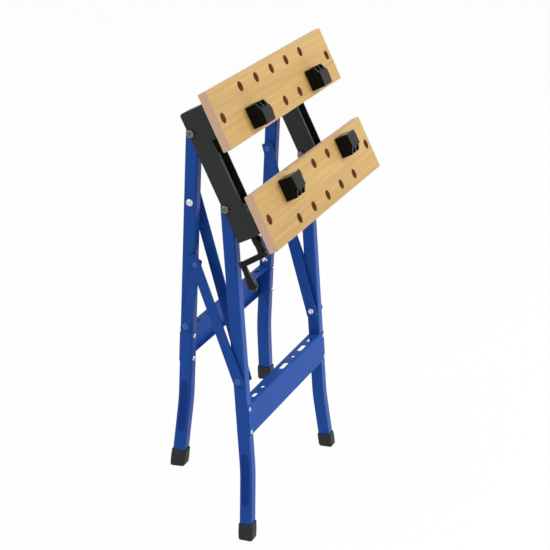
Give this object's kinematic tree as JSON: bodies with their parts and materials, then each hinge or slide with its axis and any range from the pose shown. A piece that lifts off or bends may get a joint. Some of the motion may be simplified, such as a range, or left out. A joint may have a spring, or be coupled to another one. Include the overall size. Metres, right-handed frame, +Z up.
{
  "type": "folding sawhorse",
  "caption": "Half-folded steel workbench sawhorse with two wooden clamping jaws, four bench dogs, a hand crank and scissoring blue legs.",
  "frame": {"origin": "middle of the part's footprint at floor level, under the front feet", "axes": "+X along the jaws to the right of someone at the crank side, -Y towards the crank side, +Z up"},
  "size_m": [0.605, 0.2419, 0.893],
  "materials": {
    "blue_paint": "gloss",
    "black_paint": "satin",
    "jaw_wood": "satin",
    "black_plastic": "gloss",
    "rubber_feet": "matte",
    "zinc": "satin"
  },
  "bodies": {
    "front_frame": {"front_leg_left": "blue_paint", "front_leg_right": "blue_paint", "front_foot_left": "rubber_feet", "front_foot_right": "rubber_feet", "front_panel": "blue_paint", "front_panel_rivets": "zinc", "shared_rivets": "zinc", "shared_spacers": "zinc"},
    "top_frame": {"beam_left": "black_paint", "beam_right": "black_paint", "pivot_bolts": "zinc", "pivot_nuts": "zinc", "pivot_spacers": "zinc", "rear_jaw": "jaw_wood", "rear_bracket_left": "black_paint", "rear_bracket_right": "black_paint", "rear_jaw_screws": "zinc"},
    "rear_frame": {"rear_leg_left": "blue_paint", "rear_leg_right": "blue_paint", "rear_foot_left": "rubber_feet", "rear_foot_right": "rubber_feet", "rear_panel": "blue_paint", "rear_panel_rivets": "zinc", "strut_top_rivets": "zinc", "spreader_bottom_rivets": "zinc", "strut_top_spacers": "zinc"},
    "left_strut": {"strut_left": "blue_paint", "strut_stud_left": "zinc"},
    "right_strut": {"strut_right": "blue_paint", "strut_stud_right": "zinc"},
    "left_front_link": {"front_link_left": "blue_paint", "link_rivet_left": "zinc"},
    "right_front_link": {"front_link_right": "blue_paint", "link_rivet_right": "zinc"},
    "left_rear_link": {"rear_link_left": "blue_paint"},
    "right_rear_link": {"rear_link_right": "blue_paint"},
    "sliding_jaw": {"front_jaw": "jaw_wood", "front_bracket_left": "black_paint", "front_bracket_right": "black_paint", "front_jaw_screws": "zinc", "screw_nut_left": "black_paint", "screw_nut_right": "black_paint", "bracket_bolts": "zinc"},
    "crank_and_screw": {"lead_screw_left": "zinc", "crank": "black_plastic", "crank_collar": "zinc", "crank_pin": "zinc"},
    "grip": {"crank_grip": "black_plastic"},
    "right_screw": {"lead_screw_right": "zinc", "screw_collar_right": "zinc"},
    "rear_left_dog": {"dog_rear_left": "black_plastic"},
    "rear_right_dog": {"dog_rear_right": "black_plastic"},
    "front_left_dog": {"dog_front_left": "black_plastic"},
    "front_right_dog": {"dog_front_right": "black_plastic"}
  },
  "joints": [
    {"name": "fold", "type": "hinge", "parent": "front_frame", "child": "top_frame", "pos_m": [0, 0.01051, 0.65648], "axis": [1, 0, 0], "range_deg": [-47.5, 7]},
    {"name": "rear_legs_swing", "type": "hinge", "parent": "top_frame", "child": "rear_frame", "pos_m": [0, 0.07714, 0.79309], "axis": [1, 0, 0], "range_deg": [-11.03, 74.78]},
    {"name": "left_strut_swing", "type": "hinge", "parent": "front_frame", "child": "left_strut", "pos_m": [-0.1885, -0.01248, 0.31926], "axis": [1, 0, 0], "range_deg": [-25.9, 3.83]},
    {"name": "left_front_link_swing", "type": "hinge", "parent": "front_frame", "child": "left_front_link", "pos_m": [-0.2261, -0.01248, 0.31926], "axis": [1, 0, 0], "range_deg": [-53.02, 7.82]},
    {"name": "left_rear_link_swing", "type": "hinge", "parent": "rear_frame", "child": "left_rear_link", "pos_m": [-0.2228, 0.09393, 0.41647], "axis": [1, 0, 0], "range_deg": [-6.74, 45.66]},
    {"name": "right_strut_swing", "type": "hinge", "parent": "front_frame", "child": "right_strut", "pos_m": [0.1885, -0.01248, 0.31926], "axis": [1, 0, 0], "range_deg": [-25.9, 3.83]},
    {"name": "right_front_link_swing", "type": "hinge", "parent": "front_frame", "child": "right_front_link", "pos_m": [0.2261, -0.01248, 0.31926], "axis": [1, 0, 0], "range_deg": [-53.02, 7.82]},
    {"name": "right_rear_link_swing", "type": "hinge", "parent": "rear_frame", "child": "right_rear_link", "pos_m": [0.2228, 0.09393, 0.41647], "axis": [1, 0, 0], "range_deg": [-6.74, 45.66]},
    {"name": "jaw_slide", "type": "slide", "parent": "top_frame", "child": "sliding_jaw", "axis": [0, 0.4384, 0.8988], "range_m": [0, 0.0865]},
    {"name": "crank_turn", "type": "hinge", "parent": "top_frame", "child": "crank_and_screw", "pos_m": [-0.206, -0.01017, 0.66656], "axis": [0, 0.4384, 0.8988], "range_deg": [0, 7786]},
    {"name": "right_screw_turn", "type": "hinge", "parent": "top_frame", "child": "right_screw", "pos_m": [0.206, -0.01017, 0.66656], "axis": [0, 0.4384, 0.8988], "range_deg": [0, 7786]},
    {"name": "grip_spin", "type": "hinge", "parent": "crank_and_screw", "child": "grip", "pos_m": [-0.23038, -0.03806, 0.52996], "axis": [0, 0.4384, 0.8988], "continuous": true},
    {"name": "rear_left_dog_turn", "type": "hinge", "parent": "top_frame", "child": "rear_left_dog", "pos_m": [-0.16, -0.02436, 0.81311], "axis": [0, -0.8988, 0.4384], "range_deg": [-25, 25]},
    {"name": "front_left_dog_turn", "type": "hinge", "parent": "sliding_jaw", "child": "front_left_dog", "pos_m": [-0.16, -0.08222, 0.69447], "axis": [0, -0.8988, 0.4384], "range_deg": [-25, 25]},
    {"name": "rear_right_dog_turn", "type": "hinge", "parent": "top_frame", "child": "rear_right_dog", "pos_m": [0.16, -0.02436, 0.81311], "axis": [0, -0.8988, 0.4384], "range_deg": [-25, 25]},
    {"name": "front_right_dog_turn", "type": "hinge", "parent": "sliding_jaw", "child": "front_right_dog", "pos_m": [0.16, -0.08222, 0.69447], "axis": [0, -0.8988, 0.4384], "range_deg": [-25, 25]}
  ],
  "couplings": [
    {"joint": "rear_legs_swing", "follows": "fold", "ratio": -1.574},
    {"joint": "left_strut_swing", "follows": "fold", "ratio": 0.545},
    {"joint": "left_front_link_swing", "follows": "fold", "ratio": 1.116},
    {"joint": "left_rear_link_swing", "follows": "fold", "ratio": -0.961},
    {"joint": "right_strut_swing", "follows": "fold", "ratio": 0.545},
    {"joint": "right_front_link_swing", "follows": "fold", "ratio": 1.116},
    {"joint": "right_rear_link_swing", "follows": "fold", "ratio": -0.961},
    {"joint": "crank_turn", "follows": "jaw_slide", "rad_per_m": 1570.8},
    {"joint": "right_screw_turn", "follows": "jaw_slide", "rad_per_m": 1570.8}
  ]
}
